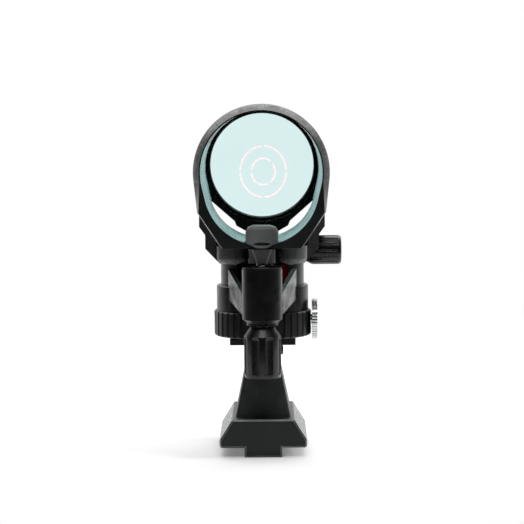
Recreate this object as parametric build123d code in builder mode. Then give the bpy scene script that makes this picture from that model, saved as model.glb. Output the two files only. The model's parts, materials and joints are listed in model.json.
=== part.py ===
from build123d import *
import math
import os

# Reflex finder sight for a telescope, in millimetres.
# +Z is up, +Y is the way the sight points, +X is to the user's right at the eye end.
# The origin is the middle of the dovetail foot's underside.

# ---- driving dimensions -------------------------------------------------------------------

# dovetail foot: the standard 32 mm finder dovetail, standing on a narrow rail
foot_width = 32.0
foot_top_width = 22.6
foot_edge = 2.7
foot_length = 45.0
rail_width = 13.8
rail_height = 3.5
foot_top = 13.9
foot_bevel = 0.5
foot_round = 1.1
foot_screw_y = 9.0
foot_screw_r = 1.95
foot_screw_head_r = 3.8
foot_screw_top = 22.0
foot_socket = (1.25, 2.0)
thread_clearance = 0.05

# stem and azimuth plate
stem_base = (20.2, 33.0)
stem_top = (9.6, 22.0)
stem_corner = 1.2
plate_z = 39.9
plate_size = 24.2
plate_thick = 2.1
plate_top = plate_z + plate_thick
post_r = 3.0
post_length = 9.5
post_gap = 0.5
spigot_r = 6.0
spigot_top = 54.1
groove_depth = 0.8
groove_half = 2.1
groove_mouth_half = 2.9
plate_corner = 0.8
side_screw_z = 36.7
side_screw_r = 1.25
side_screw_head_r = 1.8
side_screw_head_x = 7.6
side_screw_head_thick = 1.1
side_screw_tip = 0.4
side_screw_cross = (0.5, 1.9, 0.8)
stop_pin_r = 1.0
stop_pin_orbit = 10.5
stop_pin_top = 45.5
stop_pin_seat = 1.5
stop_groove_height = 3.4
thrust_washer_thick = 0.5
thrust_washer_r = 9.0

# turret, turning on the spigot
running = 0.05
turret_bottom = 42.6
skirt_r = 14.5
ring_r = 18.0
ring_top = 52.0
ring_ribs = 36
ring_bevel = 0.5
rib_groove_r = 0.6
drum_r = 17.0
drum_top = 61.4
neck_r = 15.4
neck_top = 69.4
bolt_pocket_r = 8.6
bolt_washer_r = 8.0
bolt_washer_thick = 1.0
bolt_head_r = 3.8
bolt_head_height = 2.5
bolt_r = 1.95
bolt_length = 12.0
bolt_socket = (1.5, 1.6)
turret_floor = 54.0
slot_half = 9.4
slot_floor = 58.0
slot_front = 9.0
slot_rear = -20.0
drum_round = 0.7
azimuth_travel = 10.0

# azimuth lock screw
lock_z = 48.2
lock_r = 2.0
lock_disc_x = 18.3
lock_disc_thick = 2.0
lock_disc_r = 7.5
lock_ridges = 44
lock_ridge_r = 0.32
lock_face = (5.9, 2.4, 0.5)
lock_tip_x = 5.4

# rear barrel, its two cheeks, and the altitude screw
barrel_y = -30.0
barrel_r = 7.2
barrel_bottom = 49.4
barrel_top = 70.5
barrel_rim_r = 5.7
barrel_rim_height = 0.9
barrel_taper_height = 2.2
barrel_groove = 0.25
barrel_bore_r = 4.6
barrel_floor = 53.0
spring_step = 55.0
collar_bore_r = 3.9
cheek_outer_x = 12.5
cheek_thick = 1.7
cheek_rear_low = 52.6
cheek_rear_high = 60.0
cheek_front_low = 56.8
cheek_front_high = 68.0
cheek_bend_y = -10.5
cheek_front_y = -5.0
cheek_root_x = barrel_r - 0.3
screw_r = 2.0
screw_tip = 76.9
collar_r = 3.6
collar_thick = 1.2
altitude_knob_r = 6.65
altitude_knob_bottom = 30.2
altitude_knob_top = 48.9
altitude_knob_neck_r = 4.4
altitude_knob_shoulder = 45.6
altitude_flutes = 8
flute_r = 2.75
flute_orbit = altitude_knob_r + 2.2
flute_bottom = altitude_knob_bottom + 1.8
flute_length = altitude_knob_shoulder - 1.4 - flute_bottom
screw_seat = 14.0
spring_r = 3.35
spring_wire_r = 0.5
spring_turns = 7
seat_thick = 0.4

# tilt axis of the head
tilt_z = 65.5
tilt_pin_r = 1.5
tilt_pin_half = 14.6
tilt_running = 0.03
keel_half = 6.8
keel_r = 6.0
tilt_washer_r = 3.2

# head: hull, sight tube and front deck
hull_bottom = 70.7
hull_rear = -20.0
hull_front = 11.0
hull_top = 93.0
tube_upper = (104.0, 21.7)
tube_lower = (98.8, 20.5)
tube_wall = 1.7
tube_rear = -30.5
tube_front = 27.5
hood_rear = -34.0
cutout_top = 92.0
cutout_rear = 9.5
cutout_slope = (6.0, 8.0)
deck_top = 75.9
battery_y = 29.4
deck_r = 12.8
cavity_half = 13.8
cavity_top = 77.0
cavity_rear = -18.4
cavity_front = 9.6
cavity_step_z = 74.8
cavity_step_y = 8.3
base_thick = 1.5
base_half = 14.4
base_rear = -18.9
base_corner = 1.0
base_play = 0.05
base_front = 10.2
base_screw_spots = [(-11.2, -15.6), (11.2, -15.6), (-11.2, 7.4), (11.2, 7.4)]
base_screw_r = 0.95
base_screw_head_r = 1.8
base_screw_top = 74.6
pillar_r = 2.0
pillar_top = 77.5
lobe_x = 11.2
lobe_y = -19.8
lobe_r = 5.2
lobe_top = 77.1
lobe_round = 2.4
lug_half = 4.8
lug_rear = -34.1
lug_corner = 1.2
lug_bottom = 71.8
lug_top = 76.8
tip_room = (2.8, 6.5)
wire_way = (3.2, 7.0, 3.6)
wire_way_z = 75.4
wire_way_y = -21.5
rib_top_x = 3.2
rib_foot_x = 1.3
rib_width = 0.55
rib_height = 0.4
nut_size = (7.4, 5.6, 2.0)
nut_play = 0.8
nut_z = 74.9

# eye hood, clipped over the rear of the sight tube
hood_z = 103.95
hood_r = 24.4
hood_bottom = 77.2
hood_front = -22.0
hood_taper_from = -29.5
hood_taper = 2.2
flank_taper = 0.6

# lens, its frame and its cell
lens_z = 104.65
lens_r = 20.95
cell_r = 21.45
cell_opening_r = 20.05
cell_rear = 28.6
cell_front = 38.0
lens_rear = 30.4
lens_edge = 3.2
lens_sag = 1.4
lens_bulge = 2.0
lens_flat = 0.5
retainer_width = 0.9
retainer_thick = 2.0
retainer_slot = (1.4, 1.2)
frame_front = 38.0
column_half = 6.2

# lamp, board and battery
lamp_plane_y = -22.5
lamp_z = 81.2
lamp_hood_half = 5.75
lamp_hood_rear = -34.6
lamp_hood_bottom = 77.25
lamp_hood_top = 84.9
lamp_slot_z = 78.7
lamp_slot = (2.9, 0.6)
lamp_play = 0.1
lamp_round = 1.2
lamp_dent = 1.2
led_r = 1.5
led_length = 4.0
led_gap = 0.9
mask_r = 2.05
mask_hole_r = 0.35
mask_thick = 0.25
board_z = 73.4
board_thick = 1.0
board_front = 9.0
board_rear = -13.2
board_width = 18.6
board_x = -3.4
battery_r = 10.0
battery_thick = 3.2
battery_bottom = 71.75
cap_r = 11.25
cap_play = 0.15
bay_r = 10.3
bay_depth = 4.5
contact_way = (6.0, 2.0)
contact_way_z = 73.2
contact_half = 2.2
contact_leaf = 0.2
cap_thick = 0.95

# brightness knob
knob_y = 1.0
knob_z = 74.0
knob_r = 5.4
knob_x = 16.0
knob_end = 29.4
knob_pocket_r = 6.1
knob_pocket_x = (15.3, 25.3)
knob_grooves = 14
dimmer_shaft_r = 1.5
dimmer_x = (6.4, 13.6)
dimmer_case = (8.0, 4.5, 74.55)
dimmer_shaft_start = 8.2
knob_groove_r = 0.55
knob_wall = 3.0


def across(y):
    """The plane square to the sight line at y, with X to the right and Z up."""
    return Plane.XZ.offset(-y)


def level(z):
    return Plane.XY.offset(z)


def mirrored(points):
    """Closes a right-hand outline with its left-hand mirror image."""
    return points + [(-x, z) for x, z in reversed(points) if x > 0]


def save(piece, label):
    piece.part.label = label
    export_step(piece.part, f"parts/{label}.step")


os.makedirs("parts", exist_ok=True)

# ---- bracket ------------------------------------------------------------------------------

with BuildPart() as dovetail_foot:
    with BuildSketch(Plane.XZ) as foot_section:
        with BuildLine():
            Polyline(
                (-foot_width / 2, rail_height),
                (foot_width / 2, rail_height),
                (foot_width / 2, rail_height + foot_edge),
                (foot_top_width / 2, foot_top),
                (-foot_top_width / 2, foot_top),
                (-foot_width / 2, rail_height + foot_edge),
                close=True,
            )
        make_face()
        fillet(foot_section.vertices(), foot_round)
        with Locations((0, rail_height / 2 + 0.5)):
            Rectangle(rail_width, rail_height + 1)
    extrude(amount=foot_length / 2, both=True)
    foot_ends = dovetail_foot.faces().filter_by(Axis.Y)
    chamfer(foot_ends.edges(), foot_bevel)
    with Locations(
        Plane(origin=(0, -foot_screw_y, 0), z_dir=(0, 0, -1)),
        Plane(origin=(0, foot_screw_y, 0), z_dir=(0, 0, -1)),
    ):
        CounterSinkHole(foot_screw_r + 0.2, foot_screw_head_r + 0.6, counter_sink_angle=90)
save(dovetail_foot, "dovetail_foot")

with BuildPart() as foot_screw:
    with BuildSketch(Plane.XZ):
        with BuildLine():
            Polyline(
                (0, 0.4),
                (foot_screw_head_r, 0.4),
                (foot_screw_r, 0.4 + foot_screw_head_r - foot_screw_r),
                (foot_screw_r, foot_screw_top),
                (0, foot_screw_top),
                close=True,
            )
        make_face()
    revolve(axis=Axis.Z)
    with BuildSketch(level(0.4)):
        RegularPolygon(foot_socket[0], 6)
    extrude(amount=foot_socket[1], mode=Mode.SUBTRACT)

with BuildPart() as foot_screws:
    with Locations((0, -foot_screw_y, 0), (0, foot_screw_y, 0)):
        add(foot_screw.part)
save(foot_screws, "foot_screws")

with BuildPart() as bracket_stem:
    with BuildSketch(level(foot_top)):
        RectangleRounded(*stem_base, stem_corner)
    with BuildSketch(level(plate_z)):
        RectangleRounded(*stem_top, stem_corner)
    loft()
    with Locations((0, 0, plate_z)):
        Hole(post_r, depth=post_length + post_gap)
    with Locations(
        Plane(origin=(0, -foot_screw_y, foot_top), z_dir=(0, 0, -1)),
        Plane(origin=(0, foot_screw_y, foot_top), z_dir=(0, 0, -1)),
    ):
        Hole(foot_screw_r + thread_clearance, depth=foot_screw_top - foot_top + 1)
    with BuildSketch(Plane.YZ):
        with Locations((0, side_screw_z)):
            Circle(side_screw_r + thread_clearance)
    extrude(amount=stem_base[0], mode=Mode.SUBTRACT)
save(bracket_stem, "bracket_stem")

with BuildPart() as azimuth_plate:
    with BuildSketch(level(plate_z)):
        RectangleRounded(plate_size, plate_size, plate_corner)
    extrude(amount=plate_thick)
    with BuildSketch(level(plate_z)):
        Circle(post_r)
    extrude(amount=-post_length)
    with BuildSketch(level(plate_top)):
        Circle(spigot_r)
    extrude(amount=spigot_top - plate_top)
    with BuildSketch(Plane.XZ):
        with BuildLine():
            Polyline(
                (spigot_r + 0.1, lock_z - groove_mouth_half),
                (spigot_r - groove_depth, lock_z - groove_half),
                (spigot_r - groove_depth, lock_z + groove_half),
                (spigot_r + 0.1, lock_z + groove_mouth_half),
                close=True,
            )
        make_face()
    revolve(axis=Axis.Z, mode=Mode.SUBTRACT)
    with Locations((0, 0, spigot_top)):
        Hole(bolt_r + thread_clearance, depth=bolt_length + 1)
    with Locations((0, stop_pin_orbit, plate_top)):
        Hole(stop_pin_r, depth=stop_pin_seat)
    with BuildSketch(Plane.YZ):
        with Locations((0, side_screw_z)):
            Circle(side_screw_r + thread_clearance)
    extrude(amount=post_r + 1, mode=Mode.SUBTRACT)
save(azimuth_plate, "azimuth_plate")

with BuildPart() as stem_side_screw:
    with BuildSketch(Plane.YZ.offset(side_screw_tip)):
        with Locations((0, side_screw_z)):
            Circle(side_screw_r)
    extrude(amount=side_screw_head_x - side_screw_head_thick)
    with BuildSketch(Plane.YZ.offset(side_screw_head_x - side_screw_head_thick)):
        with Locations((0, side_screw_z)):
            Circle(side_screw_head_r)
    extrude(amount=side_screw_head_thick)
    fillet(stem_side_screw.edges().sort_by(Axis.X)[-1], 0.6)
    with BuildSketch(Plane.YZ.offset(side_screw_head_x)):
        with Locations((0, side_screw_z)):
            Rectangle(side_screw_cross[0], side_screw_cross[1])
            Rectangle(side_screw_cross[1], side_screw_cross[0])
    extrude(amount=-side_screw_cross[2], mode=Mode.SUBTRACT)
save(stem_side_screw, "stem_side_screw")

with BuildPart() as azimuth_stop_pin:
    with Locations((0, stop_pin_orbit, plate_top - stop_pin_seat)):
        Cylinder(
            stop_pin_r,
            stop_pin_top - plate_top + stop_pin_seat,
            align=(Align.CENTER, Align.CENTER, Align.MIN),
        )
save(azimuth_stop_pin, "azimuth_stop_pin")

with BuildPart() as thrust_washer:
    with BuildSketch(level(plate_top)):
        Circle(thrust_washer_r)
        Circle(spigot_r + 0.2, mode=Mode.SUBTRACT)
    extrude(amount=thrust_washer_thick)
save(thrust_washer, "thrust_washer")

with BuildPart() as spigot_washer:
    with BuildSketch(level(spigot_top)):
        Circle(bolt_washer_r)
        Circle(bolt_r + thread_clearance, mode=Mode.SUBTRACT)
    extrude(amount=bolt_washer_thick)
save(spigot_washer, "spigot_washer")

with BuildPart() as spigot_bolt:
    with BuildSketch(level(spigot_top - bolt_length)):
        Circle(bolt_r)
    extrude(amount=bolt_length + bolt_washer_thick)
    with BuildSketch(level(spigot_top + bolt_washer_thick)):
        Circle(bolt_head_r)
    extrude(amount=bolt_head_height)
    fillet(spigot_bolt.edges().sort_by(Axis.Z)[-1], 0.6)
    with BuildSketch(level(spigot_top + bolt_washer_thick + bolt_head_height)):
        RegularPolygon(bolt_socket[0], 6)
    extrude(amount=-bolt_socket[1], mode=Mode.SUBTRACT)
save(spigot_bolt, "spigot_bolt")

# ---- turret -------------------------------------------------------------------------------

with BuildPart() as cheek:
    # one cheek plate: a slanted strip in plan, cut to a rising strap in side view
    with BuildSketch(level(barrel_bottom)):
        with BuildLine():
            Polyline(
                (cheek_root_x, barrel_y),
                (cheek_outer_x, cheek_bend_y),
                (cheek_outer_x, cheek_front_y),
                (cheek_outer_x - cheek_thick, cheek_front_y),
                (cheek_outer_x - cheek_thick, cheek_bend_y + 0.5),
                (cheek_root_x - cheek_thick, barrel_y),
                close=True,
            )
        make_face()
    extrude(amount=neck_top - barrel_bottom)
    with BuildSketch(Plane.YZ):
        with BuildLine():
            Polyline(
                (barrel_y, cheek_rear_low),
                (cheek_bend_y - 0.5, cheek_front_low),
                (cheek_front_y + 1, cheek_front_low),
                (cheek_front_y + 1, cheek_front_high),
                (cheek_bend_y + 0.5, cheek_front_high),
                (barrel_y, cheek_rear_high),
                close=True,
            )
        make_face()
    extrude(amount=drum_r, mode=Mode.INTERSECT)

with BuildPart() as turret_housing:
    with BuildSketch(level(turret_bottom)):
        Circle(skirt_r)
    extrude(amount=ring_top - turret_bottom)
    with BuildSketch(level(ring_top)):
        Circle(drum_r)
    extrude(amount=drum_top - ring_top)
    fillet(turret_housing.edges().group_by(Axis.Z)[-1], drum_round)
    with BuildSketch(level(drum_top)):
        Circle(neck_r)
    extrude(amount=neck_top - drum_top)
    with BuildSketch(level(slot_floor)):
        with Locations((0, (slot_front + slot_rear) / 2)):
            Rectangle(2 * slot_half, slot_front - slot_rear)
    extrude(amount=neck_top - slot_floor, mode=Mode.SUBTRACT)
    add(cheek.part)
    mirror(cheek.part, about=Plane.YZ)
    with BuildSketch(Plane.XZ.offset(-barrel_y)):
        with BuildLine():
            Polyline(
                (0, barrel_bottom),
                (barrel_rim_r, barrel_bottom),
                (barrel_rim_r, barrel_bottom + barrel_rim_height),
                (barrel_r, barrel_bottom + barrel_taper_height),
                (barrel_r, barrel_top - 0.9),
                (barrel_r - barrel_groove, barrel_top - 0.7),
                (barrel_r - barrel_groove, barrel_top - 0.5),
                (barrel_r, barrel_top - 0.3),
                (barrel_r - 0.3, barrel_top),
                (0, barrel_top),
                close=True,
            )
        make_face()
    revolve(axis=Axis((0, barrel_y, 0), (0, 0, 1)))
    with Locations((0, barrel_y, barrel_top)):
        Hole(barrel_bore_r, depth=barrel_top - spring_step)
        Hole(collar_bore_r, depth=barrel_top - barrel_floor)
        Hole(screw_r + 0.1)
    # bore for the spigot and the pocket over it for the washer and bolt head
    with BuildSketch(level(turret_bottom)):
        Circle(spigot_r + running)
    extrude(amount=turret_floor - turret_bottom, mode=Mode.SUBTRACT)
    with BuildSketch(level(turret_floor)):
        Circle(bolt_pocket_r)
    extrude(amount=slot_floor - turret_floor, mode=Mode.SUBTRACT)
    # arc-shaped groove that the stop pin runs in
    groove_span = azimuth_travel + math.degrees(stop_pin_r / stop_pin_orbit) + 0.5
    with BuildSketch(Plane.XZ.rotated((0, 0, 90 - groove_span))):
        with Locations((stop_pin_orbit, turret_bottom + stop_groove_height / 2)):
            Rectangle(2 * stop_pin_r + 0.6, stop_groove_height)
    revolve(axis=Axis.Z, revolution_arc=2 * groove_span, mode=Mode.SUBTRACT)
    # tapped hole for the lock screw and cross hole for the tilt pin
    with BuildSketch(Plane.YZ):
        with Locations((0, lock_z)):
            Circle(lock_r + running)
    extrude(amount=drum_r + 1, mode=Mode.SUBTRACT)
    with BuildSketch(Plane.YZ):
        with Locations((0, tilt_z)):
            Circle(tilt_pin_r)
    extrude(amount=tilt_pin_half, both=True, mode=Mode.SUBTRACT)
save(turret_housing, "turret_housing")

with BuildPart() as azimuth_ring:
    with BuildSketch(level(turret_bottom)):
        Circle(ring_r)
        Circle(skirt_r, mode=Mode.SUBTRACT)
    extrude(amount=ring_top - turret_bottom)
    outer_rims = azimuth_ring.edges().filter_by(GeomType.CIRCLE).sort_by(SortBy.RADIUS)[-2:]
    chamfer(outer_rims, ring_bevel)
    with BuildSketch(level(turret_bottom)):
        with PolarLocations(ring_r + 0.15, ring_ribs, start_angle=180 / ring_ribs):
            Circle(rib_groove_r)
    extrude(amount=ring_top - turret_bottom, mode=Mode.SUBTRACT)
    with BuildSketch(Plane.YZ):
        with Locations((0, lock_z)):
            Circle(lock_r + 0.4)
    extrude(amount=ring_r + 1, mode=Mode.SUBTRACT)
save(azimuth_ring, "azimuth_ring")

with BuildPart() as tilt_pin:
    with BuildSketch(Plane.YZ):
        with Locations((0, tilt_z)):
            Circle(tilt_pin_r)
    extrude(amount=tilt_pin_half, both=True)
save(tilt_pin, "tilt_pin")

for label, side in (("tilt_washer_left", -1), ("tilt_washer_right", 1)):
    with BuildPart() as tilt_washer:
        with BuildSketch(Plane.YZ.offset(side * (keel_half + 0.2))):
            with Locations((0, tilt_z)):
                Circle(tilt_washer_r)
                Circle(tilt_pin_r, mode=Mode.SUBTRACT)
        extrude(amount=side * (slot_half - keel_half - 0.4))
    save(tilt_washer, label)

with BuildPart() as azimuth_lock_screw:
    with BuildSketch(Plane.YZ.offset(lock_tip_x)):
        with Locations((0, lock_z)):
            Circle(lock_r)
    extrude(amount=lock_disc_x + 1 - lock_tip_x)
    with BuildSketch(Plane.YZ.offset(lock_disc_x)):
        with Locations((0, lock_z)):
            Circle(lock_disc_r)
            with PolarLocations(lock_disc_r + 0.1, lock_ridges):
                Circle(lock_ridge_r, mode=Mode.SUBTRACT)
    extrude(amount=lock_disc_thick)
    with BuildSketch(Plane.YZ.offset(lock_disc_x + lock_disc_thick)):
        with Locations((0, lock_z)):
            Circle(lock_face[0])
            Circle(lock_face[1], mode=Mode.SUBTRACT)
    extrude(amount=-lock_face[2], mode=Mode.SUBTRACT)
save(azimuth_lock_screw, "azimuth_lock_screw")

# ---- altitude screw -----------------------------------------------------------------------

with BuildPart() as altitude_knob:
    with BuildSketch(Plane.XZ.offset(-barrel_y)):
        with BuildLine():
            Polyline(
                (0, altitude_knob_bottom),
                (altitude_knob_r - 1.2, altitude_knob_bottom),
                (altitude_knob_r - 0.3, altitude_knob_bottom + 0.5),
                (altitude_knob_r, altitude_knob_bottom + 1.5),
                (altitude_knob_r, altitude_knob_shoulder),
                (altitude_knob_neck_r, altitude_knob_top),
                (0, altitude_knob_top),
                close=True,
            )
        make_face()
    revolve(axis=Axis((0, barrel_y, 0), (0, 0, 1)))
    with Locations((0, barrel_y, flute_bottom)):
        with PolarLocations(flute_orbit, altitude_flutes, start_angle=22.5):
            Cylinder(
                flute_r,
                flute_length,
                align=(Align.CENTER, Align.CENTER, Align.MIN),
                mode=Mode.SUBTRACT,
            )
    with Locations((0, barrel_y, flute_bottom + flute_length)):
        with PolarLocations(flute_orbit, altitude_flutes, start_angle=22.5):
            Sphere(flute_r, mode=Mode.SUBTRACT)
    with Locations((0, barrel_y, altitude_knob_top)):
        Hole(screw_r, depth=screw_seat)
save(altitude_knob, "altitude_knob")

with BuildPart() as altitude_screw:
    with BuildSketch(level(altitude_knob_top - screw_seat)):
        with Locations((0, barrel_y)):
            Circle(screw_r)
    extrude(amount=screw_tip - altitude_knob_top + screw_seat)
    with BuildSketch(level(barrel_floor + 0.2)):
        with Locations((0, barrel_y)):
            Circle(collar_r)
    extrude(amount=collar_thick)
    chamfer(altitude_screw.edges().sort_by(Axis.Z)[-1], 0.5)
save(altitude_screw, "altitude_screw")

with BuildPart() as altitude_nut:
    with BuildSketch(level(nut_z - nut_size[2] / 2)):
        with Locations((0, barrel_y)):
            Rectangle(nut_size[0], nut_size[1])
            Circle(screw_r + thread_clearance, mode=Mode.SUBTRACT)
    extrude(amount=nut_size[2])
save(altitude_nut, "altitude_nut")

with BuildPart() as spring_seat:
    with BuildSketch(level(spring_step)):
        with Locations((0, barrel_y)):
            Circle(barrel_bore_r)
            Circle(screw_r + 0.4, mode=Mode.SUBTRACT)
    extrude(amount=seat_thick)
save(spring_seat, "spring_seat")

spring_bottom = spring_step + seat_thick + spring_wire_r
spring_height = lug_bottom - 0.1 - spring_wire_r - spring_bottom
with BuildPart() as altitude_spring:
    with BuildLine():
        coil = Helix(
            pitch=spring_height / spring_turns,
            height=spring_height,
            radius=spring_r,
            center=(0, barrel_y, spring_bottom),
        )
    with BuildSketch(Plane(origin=coil @ 0, z_dir=coil % 0)):
        Circle(spring_wire_r)
    sweep()
save(altitude_spring, "altitude_spring")

# ---- head ---------------------------------------------------------------------------------


def bore_outline(offset_by=0.0):
    """The sight tube's oval: two circles, one above the other, and their common hull."""
    for height, radius in (tube_upper, tube_lower):
        with Locations((0, height)):
            Circle(radius + offset_by)
    make_hull()


lamp_outline = mirrored(
    [
        (1.6, lamp_hood_bottom),
        (3.6, 78.3),
        (lamp_hood_half, 79.2),
        (lamp_hood_half, lamp_hood_top - 2.0),
        (lamp_hood_half - 0.7, lamp_hood_top - 0.7),
        (lamp_hood_half - 2.6, lamp_hood_top),
    ]
)
hull_outline = mirrored(
    [
        (15.2, hull_bottom),
        (17.6, 72.9),
        (20.7, 75.8),
        (20.7, 80.4),
        (23.1, 83.4),
        (23.1, hull_top),
    ]
)
plan_outline = mirrored(
    [
        (16.6, hull_rear),
        (20.8, hull_rear + 5),
        (20.8, hull_rear + 8),
        (23.2, hull_rear + 11),
        (23.2, hull_front),
    ]
)

with BuildPart() as hull_block:
    with BuildSketch(across(hull_rear)):
        with BuildLine():
            Polyline(*hull_outline, close=True)
        make_face()
    extrude(amount=-(hull_front - hull_rear))
    with BuildSketch(level(hull_bottom)):
        with BuildLine():
            Polyline(*plan_outline, close=True)
        make_face()
    extrude(amount=hull_top - hull_bottom, mode=Mode.INTERSECT)

with BuildPart() as lobe:
    with BuildSketch(level(hull_bottom)):
        Circle(lobe_r)
    extrude(amount=lobe_top - hull_bottom)
    fillet(lobe.edges().group_by(Axis.Z)[0], lobe_round)

with BuildPart() as head_body:
    add(hull_block.part)
    # two rounded pillars on the rear wall, beside the lug
    with Locations((-lobe_x, lobe_y, 0), (lobe_x, lobe_y, 0)):
        add(lobe.part)
    # sight tube, with its upper half carried forward to the lens frame
    with BuildSketch(across(tube_rear)):
        bore_outline(tube_wall)
    extrude(amount=-(tube_front - tube_rear))
    # deck under the lens frame
    with BuildSketch(level(hull_bottom)):
        with Locations((0, battery_y)):
            Circle(deck_r)
        with Locations((0, battery_y / 2)):
            Rectangle(2 * deck_r, battery_y)
    extrude(amount=deck_top - hull_bottom)
    # lug over the rear barrel
    with BuildSketch(level(lug_bottom)):
        with Locations((0, (lug_rear + hull_rear) / 2 + lug_corner)):
            RectangleRounded(2 * lug_half, hull_rear - lug_rear + 2 * lug_corner, lug_corner)
    extrude(amount=lug_top - lug_bottom)
    # a pair of slanting ribs down the lug's rear face
    with BuildSketch(across(lug_rear + 0.1)):
        for side in (1, -1):
            with BuildLine():
                Polyline(
                    (side * (rib_top_x + rib_width), lug_top),
                    (side * rib_top_x, lug_top),
                    (side * rib_foot_x, lug_bottom),
                    (side * (rib_foot_x + rib_width), lug_bottom),
                    close=True,
                )
            make_face()
    extrude(amount=rib_height + 0.1)
    # sight line right through
    with BuildSketch(across(tube_rear)):
        bore_outline()
    extrude(amount=-(tube_front - tube_rear), mode=Mode.SUBTRACT)
    # the lower front of the tube is cut away on both sides and below
    with BuildSketch(Plane.YZ):
        with BuildLine():
            Polyline(
                (cutout_rear, deck_top),
                (cutout_rear, cutout_top - cutout_slope[1]),
                (cutout_rear + cutout_slope[0], cutout_top),
                (tube_front, cutout_top),
                (tube_front, deck_top),
                close=True,
            )
        make_face()
    extrude(amount=hood_r, both=True, mode=Mode.SUBTRACT)
    # inner space for the board, and the opening that the base closes
    with BuildSketch(level(hull_bottom)):
        with Locations((0, (cavity_front + cavity_rear) / 2)):
            Rectangle(2 * cavity_half, cavity_front - cavity_rear)
    extrude(amount=cavity_step_z - hull_bottom, mode=Mode.SUBTRACT)
    with BuildSketch(level(hull_bottom)):
        with Locations((0, (cavity_rear + cavity_step_y) / 2)):
            Rectangle(2 * cavity_half, cavity_step_y - cavity_rear)
    extrude(amount=cavity_top - hull_bottom, mode=Mode.SUBTRACT)
    with BuildSketch(level(hull_bottom)):
        with Locations((0, (base_front + base_rear) / 2)):
            RectangleRounded(2 * base_half, base_front - base_rear, base_corner)
    extrude(amount=base_thick, mode=Mode.SUBTRACT)
    # pillars that the base screws bite into
    with BuildSketch(level(hull_bottom + base_thick)):
        with Locations(*base_screw_spots):
            Circle(pillar_r)
    extrude(amount=pillar_top - hull_bottom - base_thick)
    with BuildSketch(level(hull_bottom)):
        with Locations(*base_screw_spots):
            Circle(base_screw_r)
    extrude(amount=base_screw_top + 0.1 - hull_bottom, mode=Mode.SUBTRACT)
    # battery bay with its cap recess, and the way through for its contacts
    with BuildSketch(level(hull_bottom)):
        with Locations((0, battery_y)):
            Circle(cap_r + cap_play)
    extrude(amount=cap_thick + 0.1, mode=Mode.SUBTRACT)
    with BuildSketch(level(hull_bottom)):
        with Locations((0, battery_y)):
            Circle(bay_r)
    extrude(amount=bay_depth, mode=Mode.SUBTRACT)
    bay_rear = battery_y - bay_r
    with BuildSketch(level(contact_way_z)):
        with Locations((0, (cavity_front + bay_rear + 1) / 2)):
            Rectangle(contact_way[0], bay_rear + 3 - cavity_front)
    extrude(amount=contact_way[1], mode=Mode.SUBTRACT)
    # pocket beside the hull for the brightness knob, and the hole for its shaft
    with BuildSketch(Plane.YZ.offset(knob_pocket_x[0])):
        with Locations((knob_y, knob_z)):
            Circle(knob_pocket_r)
    extrude(amount=knob_pocket_x[1] - knob_pocket_x[0], mode=Mode.SUBTRACT)
    with BuildSketch(Plane.YZ.offset(dimmer_x[1] - 1.6)):
        with Locations((knob_y, knob_z)):
            Circle(dimmer_shaft_r + 0.4)
    extrude(amount=6, mode=Mode.SUBTRACT)
    # slot for the floating nut, room for the screw tip, and the lamp's wire way
    with BuildSketch(Plane.YZ.offset(-lug_half - 1)):
        with Locations((barrel_y, nut_z)):
            Rectangle(nut_size[1] + 2 * nut_play, nut_size[2] + 0.5)
    extrude(amount=lug_half + 1 + nut_size[0] / 2 + nut_play / 2, mode=Mode.SUBTRACT)
    with BuildSketch(level(lug_bottom)):
        with Locations((0, barrel_y)):
            Circle(tip_room[0])
    extrude(amount=tip_room[1], mode=Mode.SUBTRACT)
    with BuildSketch(level(wire_way_z)):
        with Locations((0, wire_way_y)):
            Rectangle(wire_way[0], wire_way[1])
    extrude(amount=wire_way[2], mode=Mode.SUBTRACT)
    with BuildSketch(across(tube_rear)):
        with BuildLine():
            Polyline(*lamp_outline, close=True)
        make_face()
        offset(amount=lamp_play, kind=Kind.INTERSECTION)
    extrude(amount=tube_rear - lamp_plane_y - lamp_play, mode=Mode.SUBTRACT)
save(head_body, "head_body")

with BuildPart() as head_base:
    with BuildSketch(level(hull_bottom)):
        with Locations((0, (base_front + base_rear) / 2)):
            RectangleRounded(
                2 * (base_half - base_play), base_front - base_rear - 2 * base_play, base_corner
            )
    extrude(amount=base_thick)
    with BuildSketch(Plane.YZ):
        with Locations((0, tilt_z)):
            Circle(keel_r)
        with Locations((0, (tilt_z + hull_bottom) / 2 + 0.2)):
            Rectangle(2 * keel_r, hull_bottom - tilt_z + 0.4)
    extrude(amount=keel_half, both=True)
    with BuildSketch(Plane.YZ):
        with Locations((0, tilt_z)):
            Circle(tilt_pin_r + tilt_running)
    extrude(amount=keel_half + 1, both=True, mode=Mode.SUBTRACT)
    screw_seats = [Plane(origin=(x, y, hull_bottom), z_dir=(0, 0, -1)) for x, y in base_screw_spots]
    with Locations(*screw_seats):
        CounterSinkHole(base_screw_r + 0.1, base_screw_head_r + 0.1, counter_sink_angle=90)
save(head_base, "head_base")

with BuildPart() as base_screw:
    with BuildSketch(Plane.XZ):
        with BuildLine():
            Polyline(
                (0, hull_bottom + 0.1),
                (base_screw_head_r - 0.1, hull_bottom + 0.1),
                (base_screw_r, hull_bottom + base_screw_head_r - base_screw_r),
                (base_screw_r, base_screw_top),
                (0, base_screw_top),
                close=True,
            )
        make_face()
    revolve(axis=Axis.Z)
    with BuildSketch(level(hull_bottom + 0.1)):
        Rectangle(0.4, 2.0)
        Rectangle(2.0, 0.4)
    extrude(amount=0.7, mode=Mode.SUBTRACT)

with BuildPart() as base_screws:
    with Locations(*[(x, y, 0) for x, y in base_screw_spots]):
        add(base_screw.part)
save(base_screws, "base_screws")

# ---- eye hood -----------------------------------------------------------------------------

def flank(inset):
    """The hood's lower outline, from the right-hand end of its crown round to the left."""
    right = [(23.0 - inset, 89.7), (16.5 - inset, 79.7 + inset / 2), (14.6 - inset, hood_bottom)]
    return right + [(-x, z) for x, z in reversed(right)]


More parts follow.
